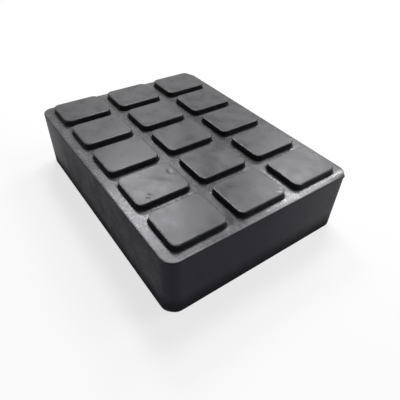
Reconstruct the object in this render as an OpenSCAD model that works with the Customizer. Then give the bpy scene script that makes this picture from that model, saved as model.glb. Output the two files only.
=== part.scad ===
// Rubber block for the arm of a car lift: one moulded piece with fifteen raised lugs on top.
// Origin at the middle of the underside, length along X, width along Y, lugs up.

/* [Block] */
// Length of the block, along a row of five lugs
block_l = 160; // [140:1:200]
// Width of the block, along a row of three lugs
block_w = 120; // [100:1:160]
// Height of the block, from the underside to the floor between the lugs
block_h = 38.3; // [15:0.1:80]
// Radius of the four upright corners
corner_r = 7; // [3:0.5:8]
// Rounding of the upper rim
rim_r = 0.6; // [0.2:0.1:1.5]
// Rounding of the lower edge
base_r = 0.6; // [0.2:0.1:2.5]

/* [Lugs] */
// Number of lugs along the length
lug_columns = 5; // [1:1:6]
// Number of lugs along the width
lug_rows = 3; // [1:1:4]
// Width of the channel between two neighbours along the length
channel_x = 5.9; // [3.5:0.1:8]
// Width of the channel between two neighbours along the width
channel_y = 7.2; // [3.5:0.1:10]
// Width of the plain rim beyond the lugs at each end of the block
rim_x = 5.2; // [4:0.1:8]
// Width of the plain rim beyond the lugs along each long side
rim_y = 6.8; // [4:0.1:10]
// Height of a lug above the channels
lug_h = 3.7; // [2.5:0.1:8]
// Radius of the upright corners of a lug
lug_corner_r = 4; // [3:0.1:5]
// Rounding of the upper edge of a lug
lug_top_r = 0.7; // [0.3:0.1:1.5]
// Radius of the fillet where a lug rises from the channel
lug_foot_r = 0.8; // [0.2:0.1:1]

/* [Finish] */
// Number of straight sides that a full circle is drawn with
circle_sides = 48; // [16:4:96]

/* [Hidden] */
$fn = circle_sides;
rubber = [0.12, 0.12, 0.13];
lug_l = (block_l - 2 * rim_x - (lug_columns - 1) * channel_x) / lug_columns;
lug_w = (block_w - 2 * rim_y - (lug_rows - 1) * channel_y) / lug_rows;
lug_pitch_x = lug_l + channel_x;
lug_pitch_y = lug_w + channel_y;

// A quarter of a disc, in the first quadrant
module quarter_disc(radius) {
    intersection() {
        circle(radius);
        square(radius);
    }
}

// What a quarter round leaves of its square: the section of a fillet in the corner at the origin
module quarter_fillet(radius) {
    difference() {
        square(radius);
        translate([radius, radius]) circle(radius);
    }
}

// Section of the block from the axis of a corner outwards, rounded at the rim and at the base
module block_section() {
    translate([0, base_r]) square([corner_r, block_h - base_r - rim_r]);
    square([corner_r - base_r, base_r]);
    translate([0, block_h - rim_r]) square([corner_r - rim_r, rim_r]);
    translate([corner_r - base_r, base_r]) mirror([0, 1]) quarter_disc(base_r);
    translate([corner_r - rim_r, block_h - rim_r]) quarter_disc(rim_r);
}

// Section of a lug from the axis of a corner outwards, with a rounded top and a filleted foot
module lug_section() {
    square([lug_corner_r, lug_h - lug_top_r]);
    translate([0, lug_h - lug_top_r]) square([lug_corner_r - lug_top_r, lug_top_r]);
    translate([lug_corner_r - lug_top_r, lug_h - lug_top_r]) quarter_disc(lug_top_r);
    translate([lug_corner_r, 0]) quarter_fillet(lug_foot_r);
}

// Carries the section in children() round a rectangle with round corners, and fills its middle
module rounded_form(length, width, height, radius) {
    flat_l = length - 2 * radius;
    flat_w = width - 2 * radius;
    for (turn = [0 : 3]) {
        along_x = turn % 2 == 1;
        corner_x = (turn == 0 || turn == 3 ? 1 : -1) * flat_l / 2;
        corner_y = (turn < 2 ? 1 : -1) * flat_w / 2;
        translate([corner_x, corner_y, 0]) rotate([0, 0, 90 * turn]) {
            rotate_extrude(angle = 90) children();
            rotate([90, 0, 0]) linear_extrude(along_x ? flat_l : flat_w) children();
        }
    }
    translate([-flat_l / 2, -flat_w / 2, 0]) cube([flat_l, flat_w, height]);
}

// The solid block under the lugs
module block() {
    rounded_form(block_l, block_w, block_h, corner_r) block_section();
}

// One raised lug, standing on the plane z = 0
module lug() {
    rounded_form(lug_l, lug_w, lug_h, lug_corner_r) lug_section();
}

// The lugs in their rows and columns, on top of the block
module lugs() {
    for (column = [0 : lug_columns - 1], row = [0 : lug_rows - 1]) {
        translate([
            (column - (lug_columns - 1) / 2) * lug_pitch_x,
            (row - (lug_rows - 1) / 2) * lug_pitch_y,
            block_h
        ]) lug();
    }
}

// The whole pad, moulded in one piece
module pad() {
    color(rubber) {
        block();
        lugs();
    }
}

pad();
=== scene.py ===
import math

import bpy
from mathutils import Matrix, Vector


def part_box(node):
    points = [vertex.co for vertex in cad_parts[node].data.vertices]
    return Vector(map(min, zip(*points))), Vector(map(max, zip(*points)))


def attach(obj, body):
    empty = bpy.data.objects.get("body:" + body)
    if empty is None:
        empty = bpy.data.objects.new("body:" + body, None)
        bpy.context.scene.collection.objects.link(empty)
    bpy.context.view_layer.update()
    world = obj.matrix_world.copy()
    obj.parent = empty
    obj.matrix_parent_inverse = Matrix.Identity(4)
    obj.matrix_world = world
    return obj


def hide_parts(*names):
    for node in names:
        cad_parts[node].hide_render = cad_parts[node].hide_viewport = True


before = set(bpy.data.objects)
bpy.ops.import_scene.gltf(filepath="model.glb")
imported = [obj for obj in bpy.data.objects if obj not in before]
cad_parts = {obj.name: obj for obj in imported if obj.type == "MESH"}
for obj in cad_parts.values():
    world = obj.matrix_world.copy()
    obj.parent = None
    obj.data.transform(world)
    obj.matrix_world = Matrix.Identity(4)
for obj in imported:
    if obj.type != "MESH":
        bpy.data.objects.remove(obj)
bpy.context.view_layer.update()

MM = 0.001

# Sizes of the moulding, in millimetres, as in the part's source
LUG_COLUMNS = 5
LUG_ROWS = 3
CHANNEL_X = 5.9
CHANNEL_Y = 7.2
MARGIN_X = 5.2
MARGIN_Y = 6.8
LUG_H = 3.7
LUG_CORNER_R = 4.0
LUG_TOP_R = 0.7
LUG_FOOT_R = 0.8
CORNER_R = 7.0
RIM_R = 0.6
BASE_R = 0.6
# How far the floor of the channels and of the rim rises towards the foot of a lug
RISE_X = 0.04
RISE_Y = 0.04
RIM_RISE_X = 0.08
RIM_RISE_Y = 0.02

# How many steps the skin is cut into, round the lugs' corners, along their sides and over each rounding
CORNER_STEPS = 12
SIDE_STEPS_X = 14
SIDE_STEPS_Y = 16
FOOT_STEPS = 6
LUG_ROUND_STEPS = 8
BLOCK_ROUND_STEPS = 6
# How many rings of faces fill the flat top of a lug, its share of the floor, and the underside
TOP_RINGS = 12
CHANNEL_RINGS = 6
UNDER_RINGS = 10
# The side is cut into three bands: how tall the upper and the lower one are, and how many rows each has
RIM_BAND = 3.0
BASE_BAND = 4.0
RIM_ROWS = 14
MIDDLE_ROWS = 8
BASE_ROWS = 6
# The width of the narrow row of faces beside a rounding, which keeps the flat beside it looking flat
SUPPORT = 0.06
# How near a point is to the rim's outline, in millimetres, to count as on it
CLOSE = 0.01
# The decimals of a millimetre by which corners of faces are merged
DECIMALS = 4
# How far round a rounding, in radians, the edge of a lug with its painted highlight and the dull edge of the
# rim begin
LUG_EDGE_FROM = 0.4
RIM_EDGE_FROM = 0.9

# The corners of a rectangle, anticlockwise from the one at +X and +Y, and the way its outline leaves each
CORNERS = ((1, 1), (-1, 1), (-1, -1), (1, -1))
LEAVING = ((-1, 0), (0, -1), (1, 0), (0, 1))

# Dents and lips on the block: middle, reach and push, in millimetres
TOUCHES = (
    # The thin lip of rubber left at the right corner, and the worn rim above it
    ((79.1, 56.4, 36.7), (2.4, 2.4, 0.28), (0.45, 0.25, 0.0)),
    ((79.0, 56.5, 38.3), (3.0, 3.0, 0.9), (-0.35, -0.2, -0.1)),
    # The worn lower edge of the front corner
    ((78.0, -58.0, 0.0), (4.0, 4.0, 1.6), (-0.3, 0.3, 0.25)),
    # A nib of rubber on the rim of the front corner
    ((76.5, -59.1, 37.9), (0.5, 0.5, 0.4), (0.15, -0.2, 0.0)),
)

# The camera, as fitted to the outline of the block in the photograph, in degrees, millimetres and pixels
AZIMUTH = 52.936
ELEVATION = 41.516
ROLL = 2.453
CAMERA_DISTANCE = 256.946
CAMERA_RIGHT = 12.423
CAMERA_UP = -8.943
CLIP_START = 10.0
SENSOR = 36.0
FOCAL_PX = 376.806
IMAGE_PX = 400

# Soft boxes: name, azimuth from +X and elevation of the middle, degrees wide and tall, brightness
PANELS = (
    ("box_left", 157, 48, 12, 13, 18.0),
    ("box_back", 120, 40, 13, 10, 11.5),
    ("box_high", 110, 50, 14, 10, 8.0),
    ("box_over", 134, 67, 16, 16, 14.5),
    ("box_right", 62, 46, 24, 24, 3.5),
    ("box_low", 68, 11, 25, 12, 4.2),
)
# How far off the soft boxes stand and how wide the floor is, in metres
PANEL_DISTANCE = 1.0
FLOOR_SIZE = 6.0
# How strongly the surroundings light the object
WORLD_LEVEL = 0.18
# The backdrop is white up to the first elevation, and the ceiling is plain and dim above the second
BACKDROP_TOP = 20
CEILING_FROM = 40
CEILING_LEVEL = 0.15
# How light and how rough the floor is
FLOOR_LEVEL = 0.95
FLOOR_ROUGHNESS = 0.9
# How much of the floor's look is plain white, the rest being lit and shaded
FLOOR_WHITE = 0.72
WHITE = (1, 1, 1, 1)

# Where rubber is worn or dusty it turns this pale, and the same pale is painted on for highlights, glare,
# reflections and lifted shade
PALE_WEAR_AND_LIGHT = (0.8, 0.81, 0.82, 1)
# The faint cool tone of its gloss
COOL = (0.94, 0.935, 1.0, 1)
# Each finish: how strongly it reflects, its least and greatest roughness, its darker and lighter colour
PLAIN_SIDE = (0.05, (0.5, 0.62), ((0.026, 0.0255, 0.033, 1), (0.030, 0.0295, 0.038, 1)))
FINISHES = {
    "lug_top": (0.43, (0.28, 0.38), ((0.042, 0.042, 0.045, 1), (0.062, 0.062, 0.063, 1))),
    # The lugs' edges are darker than the tops: painted shade for the dark lines along their back edges
    "lug_edge": (0.5, (0.26, 0.36), ((0.020, 0.020, 0.022, 1), (0.020, 0.020, 0.022, 1))),
    # The walls are darker than the tops: painted shade
    "lug_wall": (0.08, (0.42, 0.58), ((0.012, 0.013, 0.014, 1), (0.022, 0.023, 0.025, 1))),
    "channel": (0.4, (0.21, 0.31), ((0.048, 0.048, 0.050, 1), (0.085, 0.085, 0.088, 1))),
    "side": PLAIN_SIDE,
    "underside": PLAIN_SIDE,
}
# Layers of relief: the size of the features and the detail of the noise, and the depth in millimetres
TOP_RELIEF = ((9.0, 1, 0.035), (3.2, 2, 0.008))
EDGE_RELIEF = ((0.6, 3, 0.006),)
WALL_RELIEF = ((0.5, 3, 0.008),)
SIDE_RELIEF = ((3.5, 2, 0.014), (0.7, 3, 0.012))
# Layers of rough grain, which is stronger towards the worn end: size and depth in millimetres
TOP_GRAIN = ((0.5, 0.012),)
CHANNEL_GRAIN = ((1.4, 0.015), (0.5, 0.01))
# How strong the finest detail of the grain is
GRAIN_ROUGHNESS = 0.6
# The detail of any noise that isn't given its own
DETAIL = 3
# Patterns of colour and gloss: the size of the features in millimetres, and the detail of the noise
TOP_CLOUD = (9.0, 3)
TOP_STREAKS = (1.6, 3)
TOP_FINE = (0.7, 3)
EDGE_FINE = (1.0, 2)
WALL_PATCHES = (4.0, 3)
WALL_GLOSS = (3.0, 2)
CHANNEL_PATCHES = (6.0, 3)
CHANNEL_FINE = (1.2, 3)
CHANNEL_SPECKS = (0.9, 2)
SIDE_MOTTLE = (8.0, 4)
SIDE_FINE = (1.1, 3)
# How far streaks and fine patterns swing the roughness up and down
STREAK_SWING = 0.012
TOP_SWING = 0.04
SIDE_SWING = 0.06
# The range that most of a noise lies in, and a narrower one that leaves plain patches at both ends
NOISE_MOST = (0.3, 0.7)
NOISE_MIDDLE = (0.35, 0.65)
# The way the tops were wiped, in degrees from +X, and how many times longer than wide the streaks are
WIPED = (36, 7)

# The stretch along X, in millimetres, over which wear, grain and the painted highlight on the lugs' edges
# grow to their full strength
WEAR_AND_GLINT_FROM = -50
WEAR_AND_GLINT_TO = 55
# How strong they are before it, on each finish
TOP_LEAST = 0.5
# On the lugs' edges this is the strength of the painted highlight
EDGE_GLINT_LEAST = 0.1
CHANNEL_LEAST = 0.3
# How patchy the painted highlight on the edges, the painted light at the feet, and the residue and painted
# glare in the channels are: size of the patches, the range of noise each grows over, its least and its
# greatest share
EDGE_GLINT_PATCHES = (0.9, 0.38, 0.6, 0.3, 1)
LIT_FOOT_PATCHES = (2.5, 0.35, 0.6, 0.5, 1)
RESIDUE_AND_GLARE_PATCHES = (0.9, 0.38, 0.62, 0.5, 1.4)
# Pale specks in the channels: the range of noise they grow over, and how pale they are at least and at most
SPECK_SPREAD = (0.62, 0.72, 0, 0.09)
# Where the lugs' edges carry a painted highlight, by the Y of the way they face: none, full, full, none
GLINT_FACING = (-0.95, -0.75, -0.3, -0.08)
# How pale the painted highlight is at most
EDGE_GLINT = 0.5
# Painted light on the floor along the +X foot of a lug, lifting the lug's cast shadow, by distance from its
# wall: none, full, full, none
LIT_FOOT_STRIP = (0.7, 0.9, 2.0, 3.4)
# Where the strip fades out at its ends, measured from the ends of the lug
LIT_FOOT_STRIP_ENDS = (-3.0, 1.0)
# How pale the painted light is at most
LIT_FOOT_PALE = 0.13
# Painted shade at the foot of the sides: how far up it fades out, its colour, how much rougher it is
SIDE_SHADE_HEIGHT = 14.0
SIDE_SHADE_COLOUR = (0.016, 0.016, 0.020, 1)
SIDE_SHADE_ROUGHER = 0.28

# How far the outlines of marks wander, in millimetres, and the pattern that they wander by
RAGGED = 0.7
RAGGED_NOISE = (1.5, 2)
# A mark is full up to the first share of its half size and gone at the second
MARK_FULL = 0.3
MARK_GONE = 1.4
# Each mark: middle, half length, half width in millimetres, turn in degrees, how much lighter and rougher
TOP_MARKS = (
    # Nicks and scuffs on the second lug of the front row
    (38.8, -44.3, 1.3, 0.5, 53, 0, 0.5),
    (40.5, -46.4, 1.2, 0.55, 53, 0, 0.4),
    (27.5, -27.1, 2.6, 0.7, -15, 0, 0.32),
    (31.6, -24.8, 2.0, 0.6, 25, 0, 0.28),
    (28.0, -25.1, 1.8, 1.0, -10, 0.1, -0.05),
    (32.2, -31.7, 7.0, 1.1, 36, 0, 0.11),
    (30.0, -35.5, 5.0, 1.0, 36, 0, 0.08),
    # Pale wear at the corner of the middle lug by the right end
    (72.7, 11.6, 1.9, 0.9, 60, 0.36, 0.05),
    (71.0, 13.8, 1.2, 0.8, 20, 0.26, 0.05),
    # Paler tops and patches
    (31.1, 0.0, 16.0, 18.0, 0, 0.03, 0.0),
    (-31.1, -37.9, 16.0, 18.0, 0, 0.02, 0.0),
    (0.0, 37.9, 16.0, 18.0, 0, 0.015, 0.0),
    (69.4, 34.8, 4.5, 3.2, 30, 0.035, -0.02),
    (70.6, 28.5, 4.0, 3.0, 0, 0.025, -0.03),
    # Duller patches
    (69.2, -1.5, 3.5, 2.8, 0, 0, 0.06),
    (52.5, 35.0, 4.0, 6.0, 0, 0, 0.04),
    (57.0, 14.0, 4.0, 2.0, 0, 0, 0.05),
    (35.5, 5.5, 3.0, 3.5, 0, 0, 0.05),
    (37.5, 26.5, 4.0, 3.0, 0, 0, 0.05),
    (1.5, 5.3, 5.0, 3.0, 0, 0, 0.04),
    (-1.2, -34.5, 4.0, 2.5, 30, 0, 0.06),
    (-53.0, -39.0, 1.5, 1.0, 40, 0, 0.1),
)
CHANNEL_MARKS = (
    # Pale spots on the rim and in the channels
    (71.2, -55.6, 0.7, 0.4, 50, 0.3, 0.1),
    (72.4, -54.3, 0.5, 0.4, 0, 0.2, 0.1),
    (-20.2, -57.7, 0.7, 0.5, 0, 0.2, 0.1),
    (51.0, -15.6, 1.0, 0.8, 0, 0.3, 0.1),
    (41.9, 11.5, 0.8, 0.6, 0, 0.08, 0.0),
    # Painted glare along the feet of the lugs and on the rim near the right corner
    (76.3, 39.0, 15.0, 1.2, 90, 0.72, 0.05),
    (75.8, 52.8, 5.5, 2.2, 80, 0.28, 0.03),
    (76.5, 56.5, 2.6, 1.8, 130, 0.25, 0.0),
    (77.2, 28.0, 26.0, 2.4, 90, 0.2, 0.0),
    (76.3, 7.0, 11.0, 1.3, 90, 0.32, 0.0),
    (75.4, 18.6, 4.0, 2.8, 30, 0.34, 0.05),
    (63.0, 19.9, 12.0, 0.9, 0, 0.58, 0.0),
    (76.6, 8.0, 2.4, 0.8, 90, 0.22, 0.0),
    (77.5, -0.1, 1.6, 0.5, 90, 0.3, 0.0),
    # Paler rubber along the far half of the rim and in the channels; painted light lifting the shade at the
    # -Y feet of two back-row lugs; a painted glint along the +X foot of a front-row lug
    (-25.0, -56.5, 45.0, 4.0, 0, 0.075, 0.0),
    (-55.0, 0.0, 45.0, 60.0, 0, 0.04, 0.0),
    (31.0, 19.7, 11.0, 1.2, 0, 0.1, 0.0),
    (0.0, 19.4, 11.0, 1.4, 0, 0.07, 0.0),
    (45.6, -38.0, 12.0, 0.9, 90, 0.4, 0.0),
    # Dull streaks in the channel where it meets the rim, and a dull crossing further back
    (76.0, -20.5, 5.0, 0.8, 5, 0, 0.24),
    (76.9, -17.2, 2.5, 0.6, 20, 0, 0.2),
    (72.0, -18.5, 1.6, 1.6, 0, 0, 0.18),
    (70.5, -19.5, 6.0, 2.0, 165, 0, 0.36),
    (57.0, -20.7, 14.0, 0.9, 0, 0, 0.3),
    (74.0, -22.6, 2.0, 1.4, 120, 0, 0.4),
    (44.5, 14.5, 2.5, 4.0, 0, 0, 0.1),
    (60.0, -18.8, 13.0, 2.8, 0, 0, 0.13),
)
SIDE_SHEEN_MARKS = (
    # Painted reflection, paler towards the far ends of the two sides in view
    (-85.0, -60.0, 36.0, 20.0, 0, 0.17, 0.0),
    (80.0, 78.0, 65.0, 20.0, 90, 0.045, 0.0),
)

pad_low, pad_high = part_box("pad")
BLOCK_L = (pad_high.x - pad_low.x) / MM
BLOCK_W = (pad_high.y - pad_low.y) / MM
BLOCK_H = (pad_high.z - pad_low.z) / MM - LUG_H
LUG_L = (BLOCK_L - 2 * MARGIN_X - (LUG_COLUMNS - 1) * CHANNEL_X) / LUG_COLUMNS
LUG_W = (BLOCK_W - 2 * MARGIN_Y - (LUG_ROWS - 1) * CHANNEL_Y) / LUG_ROWS
PITCH_X = LUG_L + CHANNEL_X
PITCH_Y = LUG_W + CHANNEL_Y

# Zones of the skin, each with its own finish
LUG_TOP, LUG_EDGE, WALL, CHANNEL, SIDE, UNDERSIDE = range(6)


def add_object(name, data):
    """A new object in the scene."""
    item = bpy.data.objects.new(name, data)
    bpy.context.scene.collection.objects.link(item)
    return item


def quarter(steps):
    """Angles from 0 to 90 degrees."""
    return [math.pi / 2 * k / steps for k in range(steps + 1)]


class Skin:
    """Collects corners and faces in millimetres, and makes one closed mesh of them."""

    def __init__(self):
        self.points = []
        self.index = {}
        self.faces = []
        self.zones = []

    def corner(self, p):
        """The number of a corner, which is the same for all faces that meet there."""
        key = tuple(round(a, DECIMALS) for a in p)
        if key not in self.index:
            self.index[key] = len(self.points)
            self.points.append(key)
        return self.index[key]

    def quad(self, a, b, c, d, zone):
        """A face between four points, or three where two of them meet."""
        ids = []
        for p in (a, b, c, d):
            i = self.corner(p)
            if i not in ids:
                ids.append(i)
        if len(ids) > 2:
            self.faces.append(ids)
            self.zones.append(zone)

    def strip(self, first, second, zone):
        """Faces between two rows of points of the same length."""
        for k in range(len(first) - 1):
            self.quad(first[k], first[k + 1], second[k + 1], second[k], zone)

    def mesh(self, name):
        """The mesh of all the faces, with the dents and lips in it."""
        data = bpy.data.meshes.new(name)
        data.from_pydata([Vector(touched(p)) * MM for p in self.points], [], self.faces)
        data.polygons.foreach_set("material_index", self.zones)
        data.polygons.foreach_set("use_smooth", [True] * len(self.faces))
        data.update()
        return data


def touched(p):
    """The point after the dents and lips, held inside the block's box."""
    moved = list(p)
    for middle, reach, push in TOUCHES:
        share = math.exp(-sum(((a - m) / r) ** 2 for a, m, r in zip(p, middle, reach)))
        for k in range(3):
            moved[k] += share * push[k]
    return [max(lowest, min(highest, a)) for a, lowest, highest in zip(moved, pad_low / MM, pad_high / MM)]


def between(p, q, share):
    """The point that share of the way from p to q."""
    return tuple(a + (b - a) * share for a, b in zip(p, q))


def close_towards(skin, edge, centre, rings, zone):
    """Fills a flat face with rings that shrink from its edge onto its spine."""
    previous = edge
    for k in range(1, rings + 1):
        ring = [between(p, c, k / rings) for p, c in zip(edge, centre)]
        skin.strip(previous, ring, zone)
        previous = ring


def ring_stations():
    """Stations round a lug, anticlockwise, each with a foot on the inner rectangle and an outward normal.

    At a corner, share runs from 0 where the lug faces along X to 1 where it faces along Y.
    """
    a = LUG_L / 2 - LUG_CORNER_R
    b = LUG_W / 2 - LUG_CORNER_R
    stations = []
    for q, ((sx, sy), (step_x, step_y)) in enumerate(zip(CORNERS, LEAVING)):
        for angle in quarter(CORNER_STEPS):
            turn = angle + q * math.pi / 2
            share = angle / (math.pi / 2)
            stations.append({
                "foot": (sx * a, sy * b),
                "normal": (math.cos(turn), math.sin(turn)),
                "corner": (sx, sy),
                "share": share if q % 2 == 0 else 1 - share,
            })
        steps, length = (SIDE_STEPS_X, 2 * a) if step_x else (SIDE_STEPS_Y, 2 * b)
        turn = (q + 1) * math.pi / 2
        for k in range(1, steps):
            run = length * k / steps
            stations.append({
                "foot": (sx * a + step_x * run, sy * b + step_y * run),
                "normal": (round(math.cos(turn)), round(math.sin(turn))),
                "corner": None,
            })
    stations.append(stations[0])
    return stations


def foot_step(rise, lean, share):
    """A point of the fillet, from the sloping floor up: distance from the inner rectangle, and height."""
    angle = lean + (math.pi / 2 - lean) * share
    reach = LUG_CORNER_R + LUG_FOOT_R * (1 - math.sin(angle))
    return reach, rise + LUG_FOOT_R * (math.cos(lean) - math.cos(angle))


def lug_profile():
    """From the wall to the rim of the flat top: distance from the inner rectangle, height, zone below."""
    shoulder = LUG_H - LUG_TOP_R
    steps = [
        (LUG_CORNER_R, (LUG_FOOT_R + shoulder) / 2, WALL),
        (LUG_CORNER_R, shoulder - SUPPORT, WALL),
    ]
    for angle in quarter(LUG_ROUND_STEPS):
        reach = LUG_CORNER_R - LUG_TOP_R * (1 - math.cos(angle))
        z = LUG_H - LUG_TOP_R * (1 - math.sin(angle))
        steps.append((reach, z, WALL if angle < LUG_EDGE_FROM else LUG_EDGE))
    steps.append((LUG_CORNER_R - LUG_TOP_R - SUPPORT, LUG_H, LUG_TOP))
    return steps


def beside(station, reach, z, cx, cy):
    """The point that far from a station's foot along its normal, and that high above the block."""
    fx, fy = station["foot"]
    nx, ny = station["normal"]
    return cx + fx + reach * nx, cy + fy + reach * ny, BLOCK_H + z


def foot_row(stations, slopes, share, cx, cy):
    """The points of a lug's fillet that lie that share of the way up it."""
    return [beside(s, *foot_step(*slope, share), cx, cy) for s, slope in zip(stations, slopes)]


def add_lug(skin, stations, slopes, cx, cy):
    """Fillet, wall, rounded edge and flat top of one lug."""
    rows = [(foot_row(stations, slopes, k / FOOT_STEPS, cx, cy), WALL) for k in range(FOOT_STEPS + 1)]
    above = [beside(s, LUG_CORNER_R, rise + LUG_FOOT_R + SUPPORT, cx, cy)
             for s, (rise, _) in zip(stations, slopes)]
    rows.append((above, WALL))
    for reach, z, zone in lug_profile():
        rows.append(([beside(s, reach, z, cx, cy) for s in stations], zone))
    for (lower, _), (upper, zone) in zip(rows, rows[1:]):
        skin.strip(lower, upper, zone)
    edge = rows[-1][0]
    spine = LUG_W / 2 - LUG_L / 2
    centre = [(cx, cy + max(-spine, min(spine, p[1] - cy)), p[2]) for p in edge]
    close_towards(skin, edge, centre, TOP_RINGS, LUG_TOP)


def rim_corner(share, end_x, end_y):
    """The point that share of the way round an outer corner of the rim's flat, from its X side on."""
    radius = CORNER_R - RIM_R
    straight_x = end_x - radius
    straight_y = end_y - radius
    arc = radius * math.pi / 2
    run = share * (straight_x + arc + straight_y)
    if run <= straight_y:
        return end_x, run
    if run >= straight_y + arc:
        return straight_x + straight_y + arc - run, end_y
    angle = (run - straight_y) / radius
    return straight_x + radius * math.cos(angle), straight_y + radius * math.sin(angle)


def cell_edge(station, reach_x, reach_y, outer_corner):
    """Where a lug's station meets the edge of its cell of the channel floor, from the lug's middle."""
    fx, fy = station["foot"]
    end_x = LUG_CORNER_R + reach_x
    end_y = LUG_CORNER_R + reach_y
    if station["corner"] is None:
        nx, ny = station["normal"]
        reach = end_x if nx else end_y
        return fx + nx * reach, fy + ny * reach
    sx, sy = station["corner"]
    share = station["share"]
    if outer_corner:
        x, y = rim_corner(share, end_x, end_y)
    else:
        x, y = end_x * min(1, 2 - 2 * share), end_y * min(1, 2 * share)
    return fx + sx * x, fy + sy * y


def cell_outline(stations, column, row, cx, cy):
    """The edge of a lug's cell of the floor, and how the floor rises and leans at each station's foot."""
    edge = []
    slopes = []
    for s in stations:
        nx, ny = s["normal"]
        sx, sy = s["corner"] or s["normal"]
        outer_x = column == (LUG_COLUMNS - 1 if sx > 0 else 0)
        outer_y = row == (LUG_ROWS - 1 if sy > 0 else 0)
        reach_x = MARGIN_X - RIM_R if outer_x else CHANNEL_X / 2
        reach_y = MARGIN_Y - RIM_R if outer_y else CHANNEL_Y / 2
        x, y = cell_edge(s, reach_x, reach_y, outer_x and outer_y)
        edge.append((cx + x, cy + y, BLOCK_H))
        rise_x = RIM_RISE_X if outer_x else RISE_X
        rise_y = RIM_RISE_Y if outer_y else RISE_Y
        rise = rise_x * nx ** 2 + rise_y * ny ** 2
        span = math.hypot(x - s["foot"][0], y - s["foot"][1]) - LUG_CORNER_R - LUG_FOOT_R
        slopes.append((rise, math.atan(2 * rise / span)))
    return edge, slopes


def add_channel(skin, edge, foot):
    """The floor between the edge of a cell and the foot of its lug, rising with the square of the way in."""
    previous = edge
    for k in range(1, CHANNEL_RINGS + 1):
        share = k / CHANNEL_RINGS
        ring = []
        for p, q in zip(edge, foot):
            x, y, _ = between(p, q, share)
            ring.append((x, y, p[2] + (q[2] - p[2]) * share ** 2))
        skin.strip(previous, ring, CHANNEL)
        previous = ring


def rim_normal(p):
    """Outward direction at a point on the outline of the rim's flat, or nothing for a point inside it."""
    past_x = abs(p[0]) - (BLOCK_L / 2 - CORNER_R)
    past_y = abs(p[1]) - (BLOCK_W / 2 - CORNER_R)
    reach = CORNER_R - RIM_R
    sx = math.copysign(1, p[0])
    sy = math.copysign(1, p[1])
    if past_x > 0 and past_y > 0:
        span = math.hypot(past_x, past_y)
        return (sx * past_x / span, sy * past_y / span) if abs(span - reach) < CLOSE else None
    if abs(past_x - reach) < CLOSE:
        return sx, 0
    if abs(past_y - reach) < CLOSE:
        return 0, sy
    return None


def block_profile():
    """From the rim down to the underside: distance outwards from the rim's flat, height, zone above."""
    steps = [(0.0, BLOCK_H, CHANNEL)]
    for angle in quarter(BLOCK_ROUND_STEPS)[1:]:
        reach = RIM_R * math.sin(angle)
        z = BLOCK_H - RIM_R * (1 - math.cos(angle))
        steps.append((reach, z, CHANNEL if angle < RIM_EDGE_FROM else WALL))
    heights = [BLOCK_H - RIM_R - SUPPORT]
    bands = (
        (BLOCK_H - RIM_BAND, RIM_ROWS),
        (BASE_BAND, MIDDLE_ROWS),
        (BASE_R + SUPPORT, BASE_ROWS),
    )
    for bottom, rows in bands:
        top = heights[-1]
        heights += [top + (bottom - top) * k / rows for k in range(1, rows + 1)]
    for z in heights:
        steps.append((RIM_R, z, SIDE))
    for angle in quarter(BLOCK_ROUND_STEPS):
        reach = RIM_R - BASE_R * (1 - math.cos(angle))
        steps.append((reach, BASE_R * (1 - math.sin(angle)), SIDE))
    steps.append((RIM_R - BASE_R - SUPPORT, 0.0, UNDERSIDE))
    return steps


def add_skirt(skin, first, second):
    """The rim's rounding, the side, the base's rounding and the underside below one stretch of the rim."""
    rows = []
    for reach, z, zone in block_profile():
        row = []
        for p in (first, second):
            nx, ny = rim_normal(p)
            row.append((p[0] + nx * reach, p[1] + ny * reach, z))
        rows.append((row, zone))
    for (upper, _), (lower, zone) in zip(rows, rows[1:]):
        skin.strip(upper, lower, zone)
    edge = rows[-1][0]
    spine = BLOCK_L / 2 - BLOCK_W / 2
    centre = [(max(-spine, min(spine, p[0])), 0.0, 0.0) for p in edge]
    close_towards(skin, edge, centre, UNDER_RINGS, UNDERSIDE)


def add_cell(skin, stations, column, row):
    """One lug with its share of the channel floor, and of the block's sides where it stands at the edge."""
    cx = (column - (LUG_COLUMNS - 1) / 2) * PITCH_X
    cy = (row - (LUG_ROWS - 1) / 2) * PITCH_Y
    edge, slopes = cell_outline(stations, column, row, cx, cy)
    add_lug(skin, stations, slopes, cx, cy)
    add_channel(skin, edge, foot_row(stations, slopes, 0, cx, cy))
    for p, q in zip(edge, edge[1:]):
        if rim_normal(p) and rim_normal(q):
            add_skirt(skin, q, p)


def build_pad():
    """The whole moulding as one closed skin."""
    skin = Skin()
    stations = ring_stations()
    for column in range(LUG_COLUMNS):
        for row in range(LUG_ROWS):
            add_cell(skin, stations, column, row)
    return add_object("moulded_pad", skin.mesh("moulded_pad"))


def camera_axes(azimuth, elevation, roll):
    """Right, up and backward directions of a camera that looks along +Y at azimuth 0."""
    a = math.radians(azimuth)
    e = math.radians(elevation)
    r = math.radians(roll)
    back = Vector((math.sin(a) * math.cos(e), -math.cos(a) * math.cos(e), math.sin(e)))
    right = Vector((math.cos(a), math.sin(a), 0))
    up = back.cross(right)
    return right * math.cos(r) + up * math.sin(r), up * math.cos(r) - right * math.sin(r), back


def add_camera():
    """The camera where the photograph was taken from."""
    right, up, back = camera_axes(AZIMUTH, ELEVATION, ROLL)
    data = bpy.data.cameras.new("camera")
    data.sensor_width = SENSOR
    data.lens = FOCAL_PX / IMAGE_PX * SENSOR
    data.clip_start = CLIP_START * MM
    camera = add_object("camera", data)
    place = (back * CAMERA_DISTANCE + right * CAMERA_RIGHT + up * CAMERA_UP) * MM
    turn = Matrix((right, up, back)).transposed().to_4x4()
    camera.matrix_world = Matrix.Translation(place) @ turn
    bpy.context.scene.camera = camera


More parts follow.
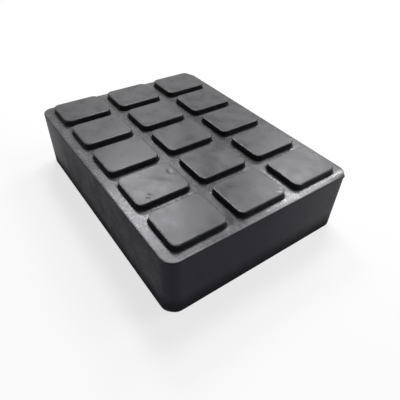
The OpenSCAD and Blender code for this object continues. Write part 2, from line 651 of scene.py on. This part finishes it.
class Finish:
    """A node material, with short calls for the nodes that the finishes share."""

    def __init__(self, name):
        specular, self.rough_range, (self.dark, self.light) = FINISHES[name]
        self.material = bpy.data.materials.new(name)
        self.material.use_nodes = True
        self.nodes = self.material.node_tree.nodes
        self.shader = self.nodes["Principled BSDF"]
        self.shader.inputs["Specular IOR Level"].default_value = specular
        self.shader.inputs["Specular Tint"].default_value = COOL
        coordinates = self.nodes.new("ShaderNodeTexCoord")
        self.place = coordinates.outputs["Object"]
        self.facing = coordinates.outputs["Normal"]

    def link(self, source, target):
        self.material.node_tree.links.new(source, target)

    def feed(self, value, target):
        """Gives a socket either another node's output or a plain value."""
        if isinstance(value, bpy.types.NodeSocket):
            self.link(value, target)
        else:
            target.default_value = value

    def part(self, vector, axis):
        """One coordinate of a place or of a direction."""
        node = self.nodes.new("ShaderNodeSeparateXYZ")
        self.link(vector, node.inputs[0])
        return node.outputs[axis]

    def noise(self, size_mm, detail=DETAIL, roughness=0.5, output="Fac", stretch=None):
        """Noise with features of that size; stretch is a direction in degrees and how many times longer."""
        node = self.nodes.new("ShaderNodeTexNoise")
        node.inputs["Scale"].default_value = 1 / (size_mm * MM)
        node.inputs["Detail"].default_value = detail
        node.inputs["Roughness"].default_value = roughness
        self.link(self.drawn_out(*stretch) if stretch else self.place, node.inputs["Vector"])
        return node.outputs[output]

    def drawn_out(self, turn, times):
        """The place, drawn out along a direction."""
        node = self.nodes.new("ShaderNodeMapping")
        node.vector_type = "TEXTURE"
        node.inputs["Rotation"].default_value = (0, 0, math.radians(turn))
        node.inputs["Scale"].default_value = (times, 1, 1)
        self.link(self.place, node.inputs["Vector"])
        return node.outputs["Vector"]

    def spread(self, value, low, high, out_low, out_high):
        """Value carried smoothly from one range to another, held inside the second."""
        node = self.nodes.new("ShaderNodeMapRange")
        node.interpolation_type = "SMOOTHSTEP"
        node.inputs["From Min"].default_value = low
        node.inputs["From Max"].default_value = high
        node.inputs["To Min"].default_value = out_low
        node.inputs["To Max"].default_value = out_high
        self.link(value, node.inputs["Value"])
        return node.outputs["Result"]

    def band(self, value, start, full, fading, end):
        """1 while the value lies from full to fading, and 0 before start and after end."""
        return self.times(self.spread(value, start, full, 0, 1), self.spread(value, fading, end, 1, 0))

    def calc(self, operation, first, second=0.0, third=0.0):
        node = self.nodes.new("ShaderNodeMath")
        node.operation = operation
        for value, target in zip((first, second, third), node.inputs):
            self.feed(value, target)
        return node.outputs["Value"]

    def add(self, first, second):
        return self.calc("ADD", first, second)

    def times(self, first, second):
        return self.calc("MULTIPLY", first, second)

    def swing(self, pattern, amount):
        """From minus to plus an amount, as the pattern goes."""
        return self.spread(pattern, *NOISE_MOST, -amount, amount)

    def patchy(self, value, size_mm, low, high, least, most):
        """A value times a noise that runs from least to most between low and high."""
        return self.times(value, self.spread(self.noise(size_mm), low, high, least, most))

    def blend(self, share, first, second):
        """A colour between two colours."""
        node = self.nodes.new("ShaderNodeMix")
        node.data_type = "RGBA"
        self.feed(share, node.inputs["Factor"])
        self.feed(first, node.inputs["A"])
        self.feed(second, node.inputs["B"])
        return node.outputs["Result"]

    def own_colour(self, pattern):
        """The finish's own colour, from the darker to the lighter one as the pattern goes."""
        return self.blend(self.spread(pattern, *NOISE_MIDDLE, 0, 1), self.dark, self.light)

    def own_roughness(self, pattern):
        """The finish's own roughness, from the least to the greatest as the pattern goes."""
        return self.spread(pattern, *NOISE_MOST, *self.rough_range)

    def bump(self, height, depth_mm, before):
        """The surface with one more layer of bumps on those before it, if there are any."""
        node = self.nodes.new("ShaderNodeBump")
        node.inputs["Distance"].default_value = depth_mm * MM
        self.link(height, node.inputs["Height"])
        if before:
            self.link(before, node.inputs["Normal"])
        return node.outputs["Normal"]

    def relief(self, layers):
        """The surface with layers of plain relief on it."""
        normal = None
        for size_mm, detail, depth_mm in layers:
            normal = self.bump(self.noise(size_mm, detail), depth_mm, normal)
        return normal

    def grain(self, layers, strength, normal=None):
        """The surface with layers of rough grain on it, as strong as another value says."""
        for size_mm, depth_mm in layers:
            height = self.times(self.noise(size_mm, roughness=GRAIN_ROUGHNESS), strength)
            normal = self.bump(height, depth_mm, normal)
        return normal

    def ragged_place(self):
        """The place, pushed about by a noise so that outlines drawn on it are ragged."""
        node = self.nodes.new("ShaderNodeVectorMath")
        node.operation = "MULTIPLY_ADD"
        self.link(self.noise(*RAGGED_NOISE, output="Color"), node.inputs[0])
        node.inputs[1].default_value = (RAGGED * MM,) * 3
        self.link(self.place, node.inputs[2])
        return node.outputs["Vector"]

    def mark(self, place, x, y, long, wide, turn):
        """1 inside an oval of that half length and half width, turned from +X, fading to 0 round it."""
        node = self.nodes.new("ShaderNodeMapping")
        node.vector_type = "TEXTURE"
        node.inputs["Location"].default_value = (x * MM, y * MM, 0)
        node.inputs["Rotation"].default_value = (0, 0, math.radians(turn))
        node.inputs["Scale"].default_value = (long * MM, wide * MM, 1)
        self.link(place, node.inputs["Vector"])
        span = self.nodes.new("ShaderNodeVectorMath")
        span.operation = "LENGTH"
        self.link(node.outputs["Vector"], span.inputs[0])
        return self.spread(span.outputs["Value"], MARK_FULL, MARK_GONE, 1, 0)

    def marks(self, table):
        """The lightness and the roughness that a table of marks adds, each summed over the marks."""
        place = self.ragged_place()
        light = 0.0
        rough = 0.0
        for x, y, long, wide, turn, lighter, rougher in table:
            shape = self.mark(place, x + RAGGED / 2, y + RAGGED / 2, long, wide, turn)
            if lighter:
                light = self.calc("MULTIPLY_ADD", shape, lighter, light)
            if rougher:
                rough = self.calc("MULTIPLY_ADD", shape, rougher, rough)
        return light, rough

    def repeat(self, value, start, pitch):
        """A coordinate counted from start again after every pitch, both in millimetres."""
        return self.calc("FLOORED_MODULO", self.calc("SUBTRACT", value, start * MM), pitch * MM)

    def lit_beside_feet(self):
        """1 on the floor next to the +X wall of every lug, fading towards the middle of the channel: painted
        light over the lug's cast shadow.
        """
        past_wall = self.repeat(self.part(self.place, "X"), LUG_L / 2, PITCH_X)
        along = self.repeat(self.part(self.place, "Y"), -PITCH_Y / 2, PITCH_Y)
        from_middle = self.calc("ABSOLUTE", self.calc("SUBTRACT", along, PITCH_Y / 2 * MM))
        strip = self.band(past_wall, *(reach * MM for reach in LIT_FOOT_STRIP))
        ends = self.spread(from_middle, *((LUG_W / 2 + reach) * MM for reach in LIT_FOOT_STRIP_ENDS), 1, 0)
        return self.patchy(self.times(strip, ends), *LIT_FOOT_PATCHES)

    def wear_and_glint_end(self, least):
        """How worn the rubber is along the block, and how strong the painted highlight on the lugs' edges
        is: least at the far end, rising to 1 at the +X end.
        """
        return self.spread(self.part(self.place, "X"), WEAR_AND_GLINT_FROM * MM, WEAR_AND_GLINT_TO * MM, least, 1)

    def complete(self, colour, rough, normal):
        """The material, with its colour, its roughness and its relief in place."""
        self.link(colour, self.shader.inputs["Base Color"])
        self.link(rough, self.shader.inputs["Roughness"])
        self.link(normal, self.shader.inputs["Normal"])
        return self.material


def lug_top_finish():
    """Smooth moulded rubber with soft cloudy patches, faint wiped streaks, scuffs and a very fine grain."""
    f = Finish("lug_top")
    cloud = f.noise(*TOP_CLOUD)
    light, rough = f.marks(TOP_MARKS)
    colour = f.blend(light, f.own_colour(cloud), PALE_WEAR_AND_LIGHT)
    streaks = f.swing(f.noise(*TOP_STREAKS, stretch=WIPED), STREAK_SWING)
    fine = f.swing(f.noise(*TOP_FINE), TOP_SWING)
    gloss = f.add(f.add(f.own_roughness(cloud), streaks), fine)
    normal = f.grain(TOP_GRAIN, f.wear_and_glint_end(TOP_LEAST), f.relief(TOP_RELIEF))
    return f.complete(colour, f.add(gloss, rough), normal)


def edge_finish():
    """The rounded upper edges of the lugs, darker than the tops as painted shade, and paler with a painted
    highlight where they face the long side at the front.
    """
    f = Finish("lug_edge")
    glint_facing = f.band(f.part(f.facing, "Y"), *GLINT_FACING)
    wear_and_glint = f.patchy(f.times(glint_facing, f.wear_and_glint_end(EDGE_GLINT_LEAST)), *EDGE_GLINT_PATCHES)
    # A painted highlight, paler where the edges face the long side at the front
    colour = f.blend(f.times(wear_and_glint, EDGE_GLINT), f.dark, PALE_WEAR_AND_LIGHT)
    return f.complete(colour, f.own_roughness(f.noise(*EDGE_FINE)), f.relief(EDGE_RELIEF))


def wall_finish():
    """The walls of the lugs, as they leave the mould, in a colour darker than the tops' that is painted
    shade.
    """
    f = Finish("lug_wall")
    colour = f.own_colour(f.noise(*WALL_PATCHES))
    return f.complete(colour, f.own_roughness(f.noise(*WALL_GLOSS)), f.relief(WALL_RELIEF))


def channel_finish():
    """The floor of the channels and the rim: glossy, with a sparkling grain, pale specks, dull streaks,
    painted glare near the right corner and painted light along the feet of the lugs.
    """
    f = Finish("channel")
    wear_and_glint = f.wear_and_glint_end(CHANNEL_LEAST)
    light, rough = f.marks(CHANNEL_MARKS)
    specks = f.times(f.spread(f.noise(*CHANNEL_SPECKS), *SPECK_SPREAD), wear_and_glint)
    # Painted light along the +X feet of the lugs, over their cast shadow
    specks_and_lit_feet = f.calc("MULTIPLY_ADD", f.lit_beside_feet(), LIT_FOOT_PALE, specks)
    light = f.add(f.patchy(light, *RESIDUE_AND_GLARE_PATCHES), specks_and_lit_feet)
    colour = f.blend(light, f.own_colour(f.noise(*CHANNEL_PATCHES)), PALE_WEAR_AND_LIGHT)
    gloss = f.add(f.own_roughness(f.noise(*CHANNEL_FINE)), rough)
    return f.complete(colour, gloss, f.grain(CHANNEL_GRAIN, wear_and_glint))


def side_finish(name, sheen_marks, foot):
    """Plain satin rubber with a faint mottle, paler where a reflection is painted towards the far ends, and
    darker up to a height above the base, which is painted shade.
    """
    f = Finish(name)
    mottle = f.noise(*SIDE_MOTTLE)
    light, _ = f.marks(sheen_marks)
    colour = f.blend(light, f.own_colour(mottle), PALE_WEAR_AND_LIGHT)
    gloss = f.add(f.own_roughness(mottle), f.swing(f.noise(*SIDE_FINE), SIDE_SWING))
    if foot:
        # Painted shade, darker and rougher towards the base
        painted_shade = f.spread(f.part(f.place, "Z"), 0, foot * MM, 1, 0)
        colour = f.blend(painted_shade, colour, SIDE_SHADE_COLOUR)
        gloss = f.calc("MULTIPLY_ADD", painted_shade, SIDE_SHADE_ROUGHER, gloss)
    return f.complete(colour, gloss, f.relief(SIDE_RELIEF))


def direction(azimuth, elevation):
    """Unit vector at an azimuth from +X and an elevation, in degrees."""
    a = math.radians(azimuth)
    e = math.radians(elevation)
    return Vector((math.cos(a) * math.cos(e), math.sin(a) * math.cos(e), math.sin(e)))


def add_panel(name, azimuth, elevation, wide, tall, radiance):
    """A soft box facing the object: the direction of its middle, its span in degrees, its brightness."""
    width = 2 * PANEL_DISTANCE * math.tan(math.radians(wide / 2))
    height = 2 * PANEL_DISTANCE * math.tan(math.radians(tall / 2))
    data = bpy.data.lights.new(name, "AREA")
    data.shape = "RECTANGLE"
    data.size = width
    data.size_y = height
    data.energy = radiance * math.pi * width * height
    lamp = add_object(name, data)
    towards = direction(azimuth, elevation)
    side = Vector((0, 0, 1)).cross(towards).normalized()
    turn = Matrix((side, towards.cross(side), towards)).transposed().to_4x4()
    lamp.matrix_world = Matrix.Translation(towards * PANEL_DISTANCE) @ turn


def seen_directly(tree):
    """1 for what the camera sees, straight, in a gloss or through glass, and 0 for what only gives light."""
    path = tree.nodes.new("ShaderNodeLightPath")
    total = path.outputs["Is Camera Ray"]
    for kind in ("Is Glossy Ray", "Is Transmission Ray"):
        both = tree.nodes.new("ShaderNodeMath")
        both.operation = "MAXIMUM"
        tree.links.new(total, both.inputs[0])
        tree.links.new(path.outputs[kind], both.inputs[1])
        total = both.outputs["Value"]
    return total


def add_world():
    """A white backdrop all round under a dim ceiling, which also lights the object a little."""
    world = bpy.data.worlds.new("studio")
    world.use_nodes = True
    tree = world.node_tree
    around = tree.nodes["Background"]
    around.inputs["Strength"].default_value = WORLD_LEVEL
    around.inputs["Color"].default_value = WHITE
    seen = tree.nodes.new("ShaderNodeBackground")
    seen.inputs["Strength"].default_value = 1
    way = tree.nodes.new("ShaderNodeTexCoord")
    split = tree.nodes.new("ShaderNodeSeparateXYZ")
    tree.links.new(way.outputs["Generated"], split.inputs[0])
    height = tree.nodes.new("ShaderNodeMapRange")
    height.interpolation_type = "SMOOTHSTEP"
    height.inputs["From Min"].default_value = math.sin(math.radians(BACKDROP_TOP))
    height.inputs["From Max"].default_value = math.sin(math.radians(CEILING_FROM))
    height.inputs["To Min"].default_value = 1
    height.inputs["To Max"].default_value = CEILING_LEVEL
    tree.links.new(split.outputs["Z"], height.inputs["Value"])
    tree.links.new(height.outputs["Result"], seen.inputs["Color"])
    mix = tree.nodes.new("ShaderNodeMixShader")
    tree.links.new(seen_directly(tree), mix.inputs[0])
    tree.links.new(around.outputs[0], mix.inputs[1])
    tree.links.new(seen.outputs[0], mix.inputs[2])
    tree.links.new(mix.outputs[0], tree.nodes["World Output"].inputs["Surface"])
    bpy.context.scene.world = world


def floor_material():
    """Pale matt floor, most of its look plain white and the rest lit and shaded."""
    material = bpy.data.materials.new("floor")
    material.use_nodes = True
    tree = material.node_tree
    shader = tree.nodes["Principled BSDF"]
    shader.inputs["Base Color"].default_value = (FLOOR_LEVEL, FLOOR_LEVEL, FLOOR_LEVEL, 1)
    shader.inputs["Roughness"].default_value = FLOOR_ROUGHNESS
    shader.inputs["Specular IOR Level"].default_value = 0
    glow = tree.nodes.new("ShaderNodeEmission")
    share = tree.nodes.new("ShaderNodeMath")
    share.operation = "MULTIPLY"
    share.inputs[1].default_value = FLOOR_WHITE
    tree.links.new(seen_directly(tree), share.inputs[0])
    mix = tree.nodes.new("ShaderNodeMixShader")
    tree.links.new(share.outputs["Value"], mix.inputs[0])
    tree.links.new(shader.outputs["BSDF"], mix.inputs[1])
    tree.links.new(glow.outputs["Emission"], mix.inputs[2])
    tree.links.new(mix.outputs["Shader"], tree.nodes["Material Output"].inputs["Surface"])
    return material


def add_floor():
    """A plain pale floor that keeps the object's shadow."""
    half = FLOOR_SIZE / 2
    data = bpy.data.meshes.new("floor")
    data.from_pydata([(sx * half, sy * half, 0) for sx, sy in CORNERS], [], [(0, 1, 2, 3)])
    data.materials.append(floor_material())
    add_object("floor", data)


bpy.context.scene.view_settings.view_transform = "Standard"
add_camera()
pad = build_pad()
for finish in (lug_top_finish(), edge_finish(), wall_finish(), channel_finish(),
               side_finish("side", SIDE_SHEEN_MARKS, SIDE_SHADE_HEIGHT), side_finish("underside", (), 0)):
    pad.data.materials.append(finish)
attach(pad, "root")
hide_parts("pad")
for panel in PANELS:
    add_panel(*panel)
add_world()
add_floor()
